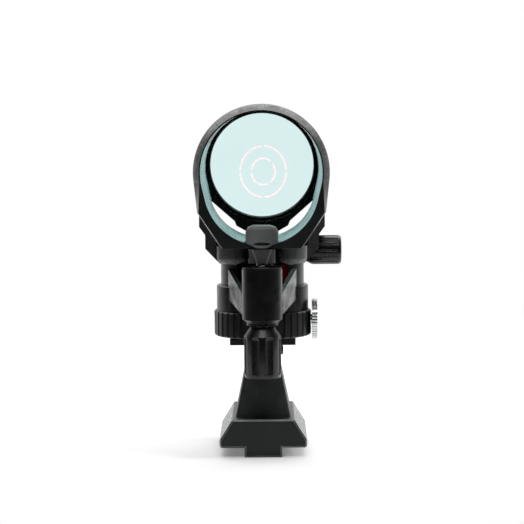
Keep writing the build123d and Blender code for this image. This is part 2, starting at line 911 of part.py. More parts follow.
with BuildPart() as eye_hood:
    for y, share in ((hood_front, 0.0), (hood_taper_from, 0.0), (hood_rear, 1.0)):
        with BuildSketch(across(y)):
            with BuildLine():
                crown = CenterArc((0, hood_z), hood_r - share * hood_taper, -8, 196)
                Polyline(crown @ 0, *flank(share * flank_taper), crown @ 1)
            make_face()
    loft(ruled=True)
    with BuildSketch(across(hood_rear)):
        bore_outline()
    extrude(amount=-(hood_front - hood_rear), mode=Mode.SUBTRACT)
    with BuildSketch(across(tube_rear)):
        bore_outline(tube_wall)
    extrude(amount=-(hood_front - tube_rear), mode=Mode.SUBTRACT)
    with BuildSketch(across(hood_rear)):
        with BuildLine():
            Polyline(*lamp_outline, close=True)
        make_face()
        offset(amount=lamp_play, kind=Kind.INTERSECTION)
    extrude(amount=-(hood_front - hood_rear), mode=Mode.SUBTRACT)
    # room for the tip of the altitude screw when the head is tilted back
    with BuildSketch(level(hood_bottom)):
        with Locations((0, barrel_y)):
            Circle(tip_room[0])
    extrude(amount=lamp_dent, mode=Mode.SUBTRACT)
save(eye_hood, "eye_hood")

# ---- lens ---------------------------------------------------------------------------------

frame_flank = [
    (22.6, 97.9),
    (20.8, 92.1),
    (10.7, 83.2),
    (10.0, 81.4),
    (column_half, 79.3),
    (column_half, deck_top),
]
with BuildPart() as lens_frame:
    with BuildSketch(across(tube_front)):
        with BuildLine():
            rim = CenterArc((0, tube_upper[0]), tube_upper[1] + tube_wall, -15, 210)
            Polyline(rim @ 0, *frame_flank, *[(-x, z) for x, z in reversed(frame_flank)], rim @ 1)
        make_face()
        with Locations((0, lens_z)):
            Circle(cell_r, mode=Mode.SUBTRACT)
    extrude(amount=-(frame_front - tube_front))
save(lens_frame, "lens_frame")

lens_axis = Axis((0, 0, lens_z), (0, 1, 0))

with BuildPart() as lens_cell:
    with BuildSketch(Plane.YZ):
        with BuildLine():
            Polyline(
                (cell_rear, lens_z + cell_opening_r + 0.4),
                (cell_rear, lens_z + cell_r - 0.2),
                (cell_rear + 0.2, lens_z + cell_r),
                (cell_front, lens_z + cell_r),
                (cell_front, lens_z + lens_r + 0.05),
                (lens_rear, lens_z + lens_r + 0.05),
                (lens_rear, lens_z + cell_opening_r),
                (cell_rear + 0.4, lens_z + cell_opening_r),
                close=True,
            )
        make_face()
    revolve(axis=lens_axis)
save(lens_cell, "lens_cell")

with BuildPart() as lens:
    # meniscus: both faces are arcs centred on the lens axis, with a small flat at the middle
    with BuildSketch(Plane.YZ):
        with BuildLine():
            faces = []
            rear_middle = lens_rear + lens_sag
            front_middle = lens_rear + lens_edge + lens_bulge
            for middle, sag in ((rear_middle, lens_sag), (front_middle, lens_bulge)):
                radius = (lens_r**2 + sag**2) / (2 * sag)
                start = math.degrees(math.asin(lens_flat / radius))
                sweep = math.degrees(math.asin(lens_r / radius)) - start
                faces.append(CenterArc((middle - radius, lens_z), radius, start, sweep))
            rear_face, front_face = faces
            Line(rear_face @ 1, front_face @ 1)
            Polyline(
                rear_face @ 0,
                ((rear_face @ 0).X, lens_z),
                ((front_face @ 0).X, lens_z),
                front_face @ 0,
            )
        make_face()
    revolve(axis=lens_axis)
save(lens, "lens")

retainer_rear = lens_rear + lens_edge + 0.3
with BuildPart() as lens_retainer:
    with BuildSketch(across(retainer_rear)):
        with Locations((0, lens_z)):
            Circle(lens_r)
            Circle(lens_r - retainer_width, mode=Mode.SUBTRACT)
    extrude(amount=-retainer_thick)
    with BuildSketch(across(retainer_rear + retainer_slot[1])):
        with Locations((0, lens_z)):
            Rectangle(2 * lens_r + 1, retainer_slot[0])
    extrude(amount=-retainer_thick, mode=Mode.SUBTRACT)
save(lens_retainer, "lens_retainer")

# ---- lamp, board, battery -----------------------------------------------------------------

lamp_plane = Plane(
    origin=(0, lamp_plane_y, lamp_z),
    x_dir=(1, 0, 0),
    z_dir=(0, lens_rear - lamp_plane_y, lens_z - lamp_z),
)

with BuildPart() as lamp_hood:
    with BuildSketch(across(lamp_hood_rear)) as lamp_section:
        with BuildLine():
            Polyline(*lamp_outline, close=True)
        make_face()
        fillet(lamp_section.vertices().group_by(Axis.Y)[-1], 1.4)
    extrude(amount=-(lamp_plane_y - lamp_hood_rear))
    rear_edges = lamp_hood.faces().sort_by(Axis.Y)[0].edges()
    fillet(rear_edges.filter_by(lambda edge: edge.center().Z > lamp_z), lamp_round)
    with BuildSketch(across(lamp_hood_rear)):
        with Locations((0, lamp_slot_z)):
            Ellipse(*lamp_slot)
    extrude(amount=-lamp_dent, mode=Mode.SUBTRACT)
    with BuildSketch(level(lamp_hood_bottom)):
        with Locations((0, barrel_y)):
            Circle(tip_room[0])
    extrude(amount=lamp_dent, mode=Mode.SUBTRACT)
    with BuildSketch(lamp_plane.offset(1.5)):
        Circle(led_r + 0.1)
    extrude(amount=-7.6, mode=Mode.SUBTRACT)
    with BuildSketch(lamp_plane.offset(1.5)):
        Circle(led_r + 0.6)
    extrude(amount=-2.1, mode=Mode.SUBTRACT)
save(lamp_hood, "lamp_hood")

with BuildPart() as led:
    with BuildSketch(lamp_plane.offset(-led_gap - led_length)):
        Circle(led_r)
    extrude(amount=led_length)
    fillet(led.edges().sort_by(Axis.Y)[-1], 1.2)
save(led, "led")

with BuildPart() as reticle_mask:
    with BuildSketch(lamp_plane.offset(-0.55)):
        Circle(mask_r)
        Circle(mask_hole_r, mode=Mode.SUBTRACT)
    extrude(amount=mask_thick)
save(reticle_mask, "reticle_mask")

with BuildPart() as circuit_board:
    with BuildSketch(level(board_z)):
        with Locations((board_x, (board_front + board_rear) / 2)):
            Rectangle(board_width, board_front - board_rear)
        with Locations(*base_screw_spots):
            Circle(pillar_r + 0.3, mode=Mode.SUBTRACT)
    extrude(amount=board_thick)
save(circuit_board, "circuit_board")

with BuildPart() as dimmer:
    with BuildSketch(Plane.YZ.offset(dimmer_x[0])):
        with Locations((knob_y, dimmer_case[2])):
            Rectangle(dimmer_case[0], dimmer_case[1])
    extrude(amount=dimmer_x[1] - dimmer_x[0])
    with BuildSketch(Plane.YZ.offset(dimmer_x[1])):
        with Locations((knob_y, knob_z)):
            Circle(dimmer_shaft_r + tilt_running)
    extrude(amount=dimmer_shaft_start - 0.2 - dimmer_x[1], mode=Mode.SUBTRACT)
save(dimmer, "dimmer")

with BuildPart() as dimmer_shaft:
    with BuildSketch(Plane.YZ.offset(dimmer_shaft_start)):
        with Locations((knob_y, knob_z)):
            Circle(dimmer_shaft_r)
    extrude(amount=knob_end - knob_wall - dimmer_shaft_start)
save(dimmer_shaft, "dimmer_shaft")

with BuildPart() as brightness_knob:
    with BuildSketch(level(knob_z)):
        with BuildLine():
            Polyline(
                (knob_x, knob_y),
                (knob_x, knob_y + knob_r - 1.2),
                (knob_x + 2.4, knob_y + knob_r),
                (knob_end - 1.0, knob_y + knob_r),
                (knob_end - 0.3, knob_y + knob_r - 0.3),
                (knob_end, knob_y + knob_r - 1.0),
                (knob_end, knob_y),
                close=True,
            )
        make_face()
    revolve(axis=Axis((0, knob_y, knob_z), (1, 0, 0)))
    with BuildSketch(Plane.YZ.offset(knob_x + 2.6)):
        with Locations((knob_y, knob_z)):
            with PolarLocations(knob_r + 0.25, knob_grooves):
                Circle(knob_groove_r)
    extrude(amount=knob_end - knob_x - 4.0, mode=Mode.SUBTRACT)
    with BuildSketch(Plane.YZ.offset(knob_x)):
        with Locations((knob_y, knob_z)):
            Circle(dimmer_shaft_r)
    extrude(amount=knob_end - knob_wall - knob_x, mode=Mode.SUBTRACT)
save(brightness_knob, "brightness_knob")

with BuildPart() as battery:
    with BuildSketch(level(battery_bottom)):
        with Locations((0, battery_y)):
            Circle(battery_r)
    extrude(amount=battery_thick)
    chamfer(battery.edges(), 0.3)
save(battery, "battery")

with BuildPart() as battery_top_contact:
    with BuildSketch(Plane.YZ):
        with BuildLine():
            Polyline(
                (board_front - 2.0, board_z + board_thick),
                (16.0, board_z + board_thick),
                (16.0, battery_bottom + battery_thick),
                (34.0, battery_bottom + battery_thick),
                (34.0, battery_bottom + battery_thick + contact_leaf),
                (15.8, battery_bottom + battery_thick + contact_leaf),
                (15.8, board_z + board_thick + contact_leaf),
                (board_front - 2.0, board_z + board_thick + contact_leaf),
                close=True,
            )
        make_face()
    extrude(amount=contact_half, both=True)
save(battery_top_contact, "battery_top_contact")

with BuildPart() as battery_side_contact:
    with BuildSketch(Plane.YZ):
        with BuildLine():
            Polyline(
                (board_front, board_z),
                (battery_y - battery_r - 0.05, board_z),
                (battery_y - battery_r - 0.05, board_z + 1.2),
                (battery_y - battery_r - 0.25, board_z + 1.2),
                (battery_y - battery_r - 0.25, board_z + contact_leaf),
                (board_front, board_z + contact_leaf),
                close=True,
            )
        make_face()
    extrude(amount=contact_half, both=True)
save(battery_side_contact, "battery_side_contact")

with BuildPart() as battery_cap:
    with BuildSketch(level(hull_bottom + 0.05)):
        with Locations((0, battery_y)):
            Circle(cap_r)
    extrude(amount=cap_thick)
    with BuildSketch(level(hull_bottom + 0.05)):
        with Locations((0, battery_y)):
            SlotOverall(12.0, 1.6)
    extrude(amount=0.5, mode=Mode.SUBTRACT)
save(battery_cap, "battery_cap")
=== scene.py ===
import json
import math

import bmesh
import bpy
from mathutils import Euler, Matrix, Vector
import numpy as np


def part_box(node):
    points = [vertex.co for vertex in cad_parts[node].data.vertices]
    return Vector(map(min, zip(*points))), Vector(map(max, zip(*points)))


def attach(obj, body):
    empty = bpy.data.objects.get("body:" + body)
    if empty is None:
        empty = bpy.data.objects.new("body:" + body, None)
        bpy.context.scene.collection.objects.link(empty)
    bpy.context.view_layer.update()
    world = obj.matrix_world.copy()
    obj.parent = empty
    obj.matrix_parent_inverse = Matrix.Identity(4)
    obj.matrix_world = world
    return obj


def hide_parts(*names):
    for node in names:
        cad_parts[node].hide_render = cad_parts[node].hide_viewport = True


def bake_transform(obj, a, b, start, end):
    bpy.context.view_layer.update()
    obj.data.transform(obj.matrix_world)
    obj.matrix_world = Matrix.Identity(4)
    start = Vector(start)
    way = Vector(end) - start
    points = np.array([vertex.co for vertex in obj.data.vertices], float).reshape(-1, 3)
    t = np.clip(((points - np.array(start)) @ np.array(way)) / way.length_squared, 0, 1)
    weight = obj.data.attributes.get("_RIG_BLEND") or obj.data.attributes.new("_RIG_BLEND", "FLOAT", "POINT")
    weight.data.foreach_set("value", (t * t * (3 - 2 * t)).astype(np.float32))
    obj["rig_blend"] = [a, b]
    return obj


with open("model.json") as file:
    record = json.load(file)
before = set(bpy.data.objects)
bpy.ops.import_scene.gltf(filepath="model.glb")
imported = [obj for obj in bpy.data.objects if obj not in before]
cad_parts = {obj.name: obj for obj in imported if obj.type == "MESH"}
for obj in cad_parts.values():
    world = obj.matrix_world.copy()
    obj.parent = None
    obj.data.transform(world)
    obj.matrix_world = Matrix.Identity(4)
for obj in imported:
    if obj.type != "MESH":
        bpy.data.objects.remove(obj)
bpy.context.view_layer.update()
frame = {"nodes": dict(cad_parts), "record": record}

scene = bpy.context.scene
record = frame["record"]
body_of_node = {
    node: body
    for body, members in record["behaviour"]["bodies"].items()
    for node in members
}
slot_of_node = {row["node"]: row["material_slot"] for row in record["subparts"]}
MM = 0.001

# landmarks of the design, in millimetres, that tell the faces of a part from one another
BORE_AXIS_Z = 101.5
BORE_WALL = (15.0, 24.8)
BORE_MATT_Z = 113.0
HULL_REAR_Y = -20.05
LUG_TOP_Z = 77.2
LUG_HALF = 5.5
LOBES_HALF = 16.6
RIB_REAR_Y = -34.2
CHEEK_X = (7.3, 12.6)
CHEEK_Y = (-29.0, -5.0)
CHEEK_TOP_Z = 58.0
CHEEK_TOP_FRONT_Y = -9.0
FOOT_FLANK_LOW_Z = 5.0
FOOT_BEVEL_LOW_Z = 4.0

# altitude spring, in millimetres
SPRING_WIRE_R = 0.5
SPRING_TURNS = 7

# the two lit rings, in millimetres: half widths and half heights, and the arcs in degrees from the top
RETICLE_X = 0.5
RETICLE_Z = 102.2
RETICLE_BEHIND_LENS = 0.3
RETICLE_DEPTH = 0.1
OUTER_RADII = (8.85, 9.85)
OUTER_WIDTH = 0.72
OUTER_ARCS = [(start, start + 84) for start in (3, 93, 183, 273)]
INNER_RADII = (4.6, 5.1)
INNER_WIDTH = 0.7
INNER_ARCS = [(-84, 40), (53, 146), (158, 264)]


# ---- materials ------------------------------------------------------------------------------


def new_material(name):
    """A material with a Principled shader, and the two things every recipe here needs."""
    material = bpy.data.materials.new(name)
    material.use_nodes = True
    shader = material.node_tree.nodes["Principled BSDF"]
    place = material.node_tree.nodes.new("ShaderNodeTexCoord").outputs["Object"]
    return material, shader, place


def noise(material, place, size_mm, detail=3.0, stretch=None):
    """Noise with features of about size_mm; stretch draws it out along an axis."""
    nodes, links = material.node_tree.nodes, material.node_tree.links
    if stretch:
        mapping = nodes.new("ShaderNodeMapping")
        mapping.inputs["Scale"].default_value = stretch
        links.new(place, mapping.inputs["Vector"])
        place = mapping.outputs["Vector"]
    texture = nodes.new("ShaderNodeTexNoise")
    texture.inputs["Scale"].default_value = 1 / (size_mm * MM)
    texture.inputs["Detail"].default_value = detail
    links.new(place, texture.inputs["Vector"])
    return texture.outputs["Fac"]


def colours(material, factor, dark, light, low=0.35, high=0.65):
    """A colour that goes from dark to light as the factor goes from low to high."""
    ramp = material.node_tree.nodes.new("ShaderNodeValToRGB")
    ramp.color_ramp.elements[0].position = low
    ramp.color_ramp.elements[0].color = (*dark, 1)
    ramp.color_ramp.elements[1].position = high
    ramp.color_ramp.elements[1].color = (*light, 1)
    material.node_tree.links.new(factor, ramp.inputs["Fac"])
    return ramp.outputs["Color"]


def spread(material, factor, low, high):
    """Maps the middle of a noise onto low to high."""
    remap = material.node_tree.nodes.new("ShaderNodeMapRange")
    remap.inputs["From Min"].default_value = 0.3
    remap.inputs["From Max"].default_value = 0.7
    remap.inputs["To Min"].default_value = low
    remap.inputs["To Max"].default_value = high
    material.node_tree.links.new(factor, remap.inputs["Value"])
    return remap.outputs["Result"]


def bump(material, shader, height, depth_mm, strength):
    """Fine relief in the shading only."""
    relief = material.node_tree.nodes.new("ShaderNodeBump")
    relief.inputs["Strength"].default_value = strength
    relief.inputs["Distance"].default_value = depth_mm * MM
    material.node_tree.links.new(height, relief.inputs["Height"])
    material.node_tree.links.new(relief.outputs["Normal"], shader.inputs["Normal"])


def moulding(name, shade, roughness, grain_mm=0.3, strength=0.05, tint=(1.0, 1.03, 1.03)):
    """Moulded plastic: cloudy in shade and sheen, with a fine grain."""
    material, shader, place = new_material(name)
    links = material.node_tree.links
    dark = [shade * 0.8 * t for t in tint]
    light = [shade * 1.3 * t for t in tint]
    links.new(colours(material, noise(material, place, 9), dark, light), shader.inputs["Base Color"])
    cloud = noise(material, place, 4, detail=6)
    links.new(spread(material, cloud, roughness - 0.05, roughness + 0.07), shader.inputs["Roughness"])
    grain = noise(material, place, grain_mm, detail=2)
    bump(material, shader, grain, depth_mm=0.01, strength=strength)
    return material


def metal(name, dark, light, roughness, stretch=None, grain_mm=0.5, strength=0.15):
    """Bare metal, with machining lines if stretch is given."""
    material, shader, place = new_material(name)
    links = material.node_tree.links
    shader.inputs["Metallic"].default_value = 1.0
    links.new(colours(material, noise(material, place, 5), dark, light), shader.inputs["Base Color"])
    fine = noise(material, place, grain_mm, detail=4, stretch=stretch)
    links.new(spread(material, fine, roughness * 0.7, roughness * 1.4), shader.inputs["Roughness"])
    bump(material, shader, fine, depth_mm=0.01, strength=strength)
    return material


def anodised(name, shade, roughness=0.34):
    """Satin anodising over a finely brushed surface."""
    material, shader, place = new_material(name)
    links = material.node_tree.links
    shader.inputs["Metallic"].default_value = 0.2
    dark = (shade * 0.85, shade * 0.95, shade * 0.98)
    light = (shade * 1.2, shade * 1.35, shade * 1.4)
    links.new(colours(material, noise(material, place, 7), dark, light), shader.inputs["Base Color"])
    brushed = noise(material, place, 0.5, detail=4, stretch=(1, 0.08, 1))
    links.new(spread(material, brushed, roughness, roughness + 0.14), shader.inputs["Roughness"])
    bump(material, shader, brushed, depth_mm=0.008, strength=0.2)
    return material


def glass(name, tint):
    """Clear coated glass: a little dust in the sheen, a tint in what is seen through it.

    Its IOR is lower than that of real glass.
    """
    material, shader, place = new_material(name)
    links = material.node_tree.links
    pale = [min(1.0, t * 1.02) for t in tint]
    links.new(colours(material, noise(material, place, 14), tint, pale), shader.inputs["Base Color"])
    dust = noise(material, place, 1.5, detail=6)
    links.new(spread(material, dust, 0.0, 0.03), shader.inputs["Roughness"])
    shader.inputs["Transmission Weight"].default_value = 1.0
    shader.inputs["IOR"].default_value = 1.12
    return material


def glow(name, colour, strength):
    """A surface that also gives off a little light of its own colour."""
    material, shader, place = new_material(name)
    links = material.node_tree.links
    shade = noise(material, place, 0.8)
    dim = [c * 0.9 for c in colour]
    links.new(colours(material, shade, dim, colour), shader.inputs["Emission Color"])
    shader.inputs["Base Color"].default_value = (*dim, 1)
    shader.inputs["Emission Strength"].default_value = strength
    return material


def board(name, shade, track, cell_mm=2.5):
    """Solder mask with the squared pattern of the copper under it."""
    material, shader, place = new_material(name)
    links = material.node_tree.links
    cells = material.node_tree.nodes.new("ShaderNodeTexVoronoi")
    cells.distance = "CHEBYCHEV"
    cells.inputs["Scale"].default_value = 1 / (cell_mm * MM)
    links.new(place, cells.inputs["Vector"])
    links.new(colours(material, cells.outputs["Distance"], track, shade), shader.inputs["Base Color"])
    links.new(spread(material, noise(material, place, 2), 0.25, 0.4), shader.inputs["Roughness"])
    bump(material, shader, cells.outputs["Distance"], depth_mm=0.03, strength=0.3)
    return material


MATERIALS = {
    "anodised": anodised("anodised", 0.009),
    "black_screw": metal("black_screw", (0.03, 0.03, 0.03), (0.06, 0.06, 0.06), 0.35),
    "steel": metal("steel", (0.45, 0.45, 0.46), (0.62, 0.62, 0.63), 0.3, stretch=(1, 1, 0.1)),
    "spring_steel": metal("spring_steel", (0.16, 0.16, 0.17), (0.24, 0.24, 0.25), 0.35),
    "nylon": moulding("nylon", 0.03, 0.5),
    # the red fibre washers give off a little light though they are no lamp: a painted red glint
    "red_fibre": glow("red_fibre", (0.7, 0.02, 0.05), 0.025),
    "turret_plastic": moulding("turret_plastic", 0.006, 0.30),
    "ring_plastic": moulding("ring_plastic", 0.005, 0.34, grain_mm=0.5),
    "chrome": metal("chrome", (0.72, 0.74, 0.75), (0.85, 0.87, 0.88), 0.12),
    "knob_plastic": moulding("knob_plastic", 0.005, 0.26, grain_mm=0.5),
    "brass": metal("brass", (0.6, 0.42, 0.16), (0.72, 0.54, 0.24), 0.3),
    "head_plastic": moulding("head_plastic", 0.012, 0.27),
    "hood_plastic": moulding(
        "hood_plastic", 0.016, 0.34, grain_mm=0.6, strength=0.01, tint=(0.9, 1.06, 1.06)
    ),
    "frame_plastic": moulding("frame_plastic", 0.005, 0.30),
    "cell_black": moulding("cell_black", 0.004, 0.45),
    "lens_glass": glass("lens_glass", (0.69, 0.86, 0.86)),
    "lamp_plastic": moulding("lamp_plastic", 0.15, 0.42, strength=0.02),
    "led_red": glow("led_red", (0.7, 0.02, 0.02), 0.08),
    "board_green": board("board_green", (0.01, 0.12, 0.05), (0.03, 0.2, 0.08)),
    "board_black": moulding("board_black", 0.012, 0.3),
    "battery_steel": metal("battery_steel", (0.5, 0.5, 0.5), (0.65, 0.65, 0.64), 0.28),
    "contact_metal": metal("contact_metal", (0.62, 0.5, 0.26), (0.75, 0.62, 0.35), 0.28),
    "cap_plastic": moulding("cap_plastic", 0.010, 0.4),
}

for node, piece in frame["nodes"].items():
    piece.data.materials.clear()
    piece.data.materials.append(MATERIALS[slot_of_node[node]])


# ---- softened edges on the moulded and machined parts ---------------------------------------


def soften(node, width_mm, edge_material, segments=2, angle=28, merge_mm=0.002, flat_angle=0.6):
    """A copy of a CAD part that stands for it, with its edges rounded over and in a material of their own,
    mostly a paler one that paints a highlight along them.

    Edges sharper than angle are rounded. Neighbouring facets within flat_angle are joined first.
    """
    source = frame["nodes"][node]
    mesh = bpy.data.meshes.new(node + "_soft")
    work = bmesh.new()
    work.from_mesh(source.data)
    bmesh.ops.remove_doubles(work, verts=work.verts, dist=merge_mm * MM)
    bmesh.ops.dissolve_limit(
        work, angle_limit=math.radians(flat_angle), verts=work.verts, edges=work.edges
    )
    for face in work.faces:
        face.smooth = True
    work.to_mesh(mesh)
    work.free()
    for name in [a.name for a in mesh.attributes if a.name in ("custom_normal", "sharp_edge")]:
        mesh.attributes.remove(mesh.attributes[name])
    mesh.materials.clear()
    mesh.materials.append(MATERIALS[slot_of_node[node]])
    mesh.materials.append(edge_material)
    piece = bpy.data.objects.new(node + "_soft", mesh)
    scene.collection.objects.link(piece)
    rounding = piece.modifiers.new("rounding", "BEVEL")
    rounding.width = width_mm * MM
    rounding.segments = segments
    rounding.limit_method = "ANGLE"
    rounding.angle_limit = math.radians(angle)
    rounding.harden_normals = True
    rounding.material = 1
    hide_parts(node)
    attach(piece, body_of_node[node])
    return piece


def paint_light_on_faces(node, material, chosen):
    """Gives the faces of a softened part for which chosen(middle, normal) holds another material, which
    paints light on them.

    The middle is in millimetres, and each part of the normal is between -1 and 1.
    """
    mesh = softened[node].data
    mesh.materials.append(material)
    for face in mesh.polygons:
        if chosen(face.center / MM, face.normal):
            face.material_index = len(mesh.materials) - 1


def on_bore_wall(middle, normal):
    """True on the walls of the sight tube that face its axis, below the matt roof."""
    outward = Vector((middle.x, 0, middle.z - BORE_AXIS_Z))
    if abs(normal.y) > 0.3 or middle.z > BORE_MATT_Z:
        return False
    if not BORE_WALL[0] < outward.length < BORE_WALL[1]:
        return False
    return outward.normalized().dot(normal) < -0.8


def behind_hull(middle):
    """True on what stands out behind the hull, below the eye hood."""
    return middle.y < HULL_REAR_Y and middle.z < LUG_TOP_Z


def on_lug(middle, normal):
    """True on the lug over the rear barrel."""
    return behind_hull(middle) and abs(middle.x) < LUG_HALF


def on_lobe(middle, normal):
    """True on the two pillars that stand out behind the hull."""
    return behind_hull(middle) and LUG_HALF < abs(middle.x) < LOBES_HALF


def on_rib(middle, normal):
    """True on the two slanting ribs of the lug."""
    return middle.y < RIB_REAR_Y and middle.z < LUG_TOP_Z


def on_cheek(middle, normal):
    """True on the outer faces of the two straps between the turret and the rear barrel."""
    if middle.x * normal.x < 0 or abs(normal.x) < 0.9:
        return False
    return CHEEK_Y[0] < middle.y < CHEEK_Y[1] and CHEEK_X[0] < abs(middle.x) < CHEEK_X[1]


def on_cheek_top(middle, normal):
    """True on the upper edges of the same two straps."""
    if normal.z < 0.6 or middle.z < CHEEK_TOP_Z:
        return False
    return CHEEK_Y[0] < middle.y < CHEEK_TOP_FRONT_Y and abs(middle.x) < CHEEK_X[1]


def on_foot_flank(middle, normal):
    """True on the sloped sides of the dovetail foot."""
    return middle.z > FOOT_FLANK_LOW_Z and 0.3 < normal.z < 0.8 and abs(normal.x) > 0.5


def on_foot_bevel(middle, normal):
    """True on the narrow bevels round the ends of the dovetail foot."""
    return 0.4 < abs(normal.y) < 0.9 and middle.z > FOOT_BEVEL_LOW_Z


# paler materials that paint light: highlights along edges, a teal glint on rims, and the teal light through
# the lens on the walls of the sight tube
edge_highlight_plastic = moulding("edge_highlight_plastic", 0.09, 0.24, strength=0.02)
edge_highlight_metal = anodised("edge_highlight_metal", 0.22, 0.22)
# a painted teal glint, for the edges of the eye hood and the tops of the cheeks
lit_rim = moulding("lit_rim", 0.20, 0.22, strength=0.02, tint=(0.85, 1.1, 1.1))
# painted teal light and painted reflection on the walls of the sight tube, standing in for light that comes
# through the lens
bore_painted_light = moulding("bore_painted_light", 0.44, 0.30, strength=0.01, tint=(0.66, 1.2, 1.18))
bore_painted_light.node_tree.nodes["Principled BSDF"].inputs["Metallic"].default_value = 0.8

# for each part, how wide its edges are rounded in millimetres, and the material of those edges, for most
# parts a paler one that paints a highlight along them
SOFT_EDGES = {
    "dovetail_foot": (0.4, edge_highlight_metal),
    "bracket_stem": (0.35, edge_highlight_metal),
    "azimuth_plate": (0.3, edge_highlight_metal),
    "turret_housing": (0.25, edge_highlight_plastic),
    "azimuth_ring": (0.12, edge_highlight_plastic),
    "azimuth_lock_screw": (0.12, MATERIALS["chrome"]),
    "altitude_knob": (0.25, edge_highlight_plastic),
    "brightness_knob": (0.25, edge_highlight_plastic),
    "head_body": (0.35, edge_highlight_plastic),
    "head_base": (0.2, edge_highlight_plastic),
    "eye_hood": (0.35, lit_rim),
    "lens_frame": (0.2, MATERIALS["frame_plastic"]),
    "lens_cell": (0.15, MATERIALS["cell_black"]),
    "lamp_hood": (0.6, MATERIALS["lamp_plastic"]),
    "battery_cap": (0.2, MATERIALS["cap_plastic"]),
}
softened = {node: soften(node, *rounding) for node, rounding in SOFT_EDGES.items()}
# painted teal light on the walls of the sight tube
for node in ("head_body", "eye_hood", "lens_frame"):
    paint_light_on_faces(node, bore_painted_light, on_bore_wall)
# paler copies of the moulding: painted light on the lug and the pillars, which the hood shades, and a
# painted highlight on the lug's ribs
paint_light_on_faces("head_body", moulding("lug_painted_light", 0.07, 0.34), on_lug)
paint_light_on_faces("head_body", moulding("rib_painted_highlight", 0.17, 0.30), on_rib)
paint_light_on_faces("head_body", moulding("lobe_painted_light", 0.13, 0.30), on_lobe)
# a painted reflection on the cheeks' outer faces, and a painted teal glint along their tops
paint_light_on_faces("turret_housing", moulding("cheek_painted_reflection", 0.20, 0.24, strength=0.02), on_cheek)
paint_light_on_faces("turret_housing", lit_rim, on_cheek_top)
# painted highlights on the foot's end bevels; on its flanks a smoother anodising, part real polish and part
# painted sheen in its paler colour
paint_light_on_faces("dovetail_foot", edge_highlight_metal, on_foot_bevel)
paint_light_on_faces("dovetail_foot", anodised("flank_polish_and_painted_sheen", 0.02, 0.16), on_foot_flank)
# a paler copy of the anodising on the stem: painted light
softened["bracket_stem"].data.materials[0] = anodised("stem_painted_light", 0.030, 0.40)


# ---- pieces made here -----------------------------------------------------------------------


def mesh_piece(name, verts, faces, finish, body=None):
    """A smooth mesh from points in millimetres; finish is a material slot's name, or a material."""
    mesh = bpy.data.meshes.new(name)
    mesh.from_pydata([Vector(v) * MM for v in verts], [], faces)
    mesh.polygons.foreach_set("use_smooth", [True] * len(mesh.polygons))
    in_slot = isinstance(finish, str)
    mesh.materials.append(MATERIALS[finish] if in_slot else finish)
    mesh.update()
    piece = bpy.data.objects.new(name, mesh)
    scene.collection.objects.link(piece)
    if body:
        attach(piece, body)
    return piece


def swept_wire(path, wire_r, sides=10):
    """Verts and faces of a round wire along a list of points."""
    verts = []
    for i, point in enumerate(path):
        ahead = path[min(i + 1, len(path) - 1)] - path[max(i - 1, 0)]
        along = ahead.normalized()
        side = along.cross(Vector((0, 0, 1))).normalized()
        over = side.cross(along)
        for k in range(sides):
            turn = 2 * math.pi * k / sides
            verts.append(point + wire_r * (math.cos(turn) * side + math.sin(turn) * over))
    faces = [
        (i * sides + k, i * sides + (k + 1) % sides, (i + 1) * sides + (k + 1) % sides, (i + 1) * sides + k)
        for i in range(len(path) - 1)
        for k in range(sides)
    ]
    last = (len(path) - 1) * sides
    faces.append(tuple(range(sides)))
    faces.append(tuple(last + k for k in reversed(range(sides))))
    return verts, faces


def coil_path(low, high, wire_r, turns, steps_per_turn=24):
    """Middle line of a round wire that winds up through a box, in millimetres."""
    mean_r = (high.x - low.x) / 2 - wire_r
    middle_y = (low.y + high.y) / 2
    steps = turns * steps_per_turn
    path = []
    for i in range(steps + 1):
        share = i / steps
        turn = 2 * math.pi * turns * share
        height = low.z + wire_r + share * (high.z - low.z - 2 * wire_r)
        path.append(Vector((mean_r * math.cos(turn), middle_y + mean_r * math.sin(turn), height)))
    return path


spring_low, spring_high = (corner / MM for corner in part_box("altitude_spring"))
spring_path = coil_path(spring_low, spring_high, SPRING_WIRE_R, SPRING_TURNS)
spring = mesh_piece("altitude_spring_coil", *swept_wire(spring_path, SPRING_WIRE_R), "spring_steel")
spring_y = (spring_low.y + spring_high.y) / 2
spring_foot = (0, spring_y * MM, spring_low.z * MM)
spring_head = (0, spring_y * MM, spring_high.z * MM)
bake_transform(spring, "turret", "head", spring_foot, spring_head)
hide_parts("altitude_spring")


def arc_band(name, centre, radii, width, arcs, depth, material, degrees_per_step=4):
    """Flat curved bands on an oval round a centre, in the material on the eye side only."""
    verts, faces = [], []
    for start, end in arcs:
        steps = (end - start) // degrees_per_step
        first = len(verts)
        for i in range(steps + 1):
            turn = math.radians(start + (end - start) * i / steps)
            for across, back in ((-0.5, 0), (0.5, 0), (0.5, depth), (-0.5, depth)):
                wide, tall = (r + across * width for r in radii)
                verts.append(centre + Vector((wide * math.sin(turn), back, tall * math.cos(turn))))
        for i in range(steps):
            a, b = first + 4 * i, first + 4 * i + 4
            faces += [(a + k, a + (k + 1) % 4, b + (k + 1) % 4, b + k) for k in range(4)]
        faces.append(tuple(first + k for k in (3, 2, 1, 0)))
        faces.append(tuple(first + 4 * steps + k for k in range(4)))
    piece = mesh_piece(name, verts, faces, material, "head")
    piece.data.materials.append(MATERIALS["cell_black"])
    for face in piece.data.polygons:
        face.use_smooth = False
        towards_eye = abs(face.normal.y) > 0.9 and face.center.y / MM < centre.y + depth / 2
        face.material_index = 0 if towards_eye else 1


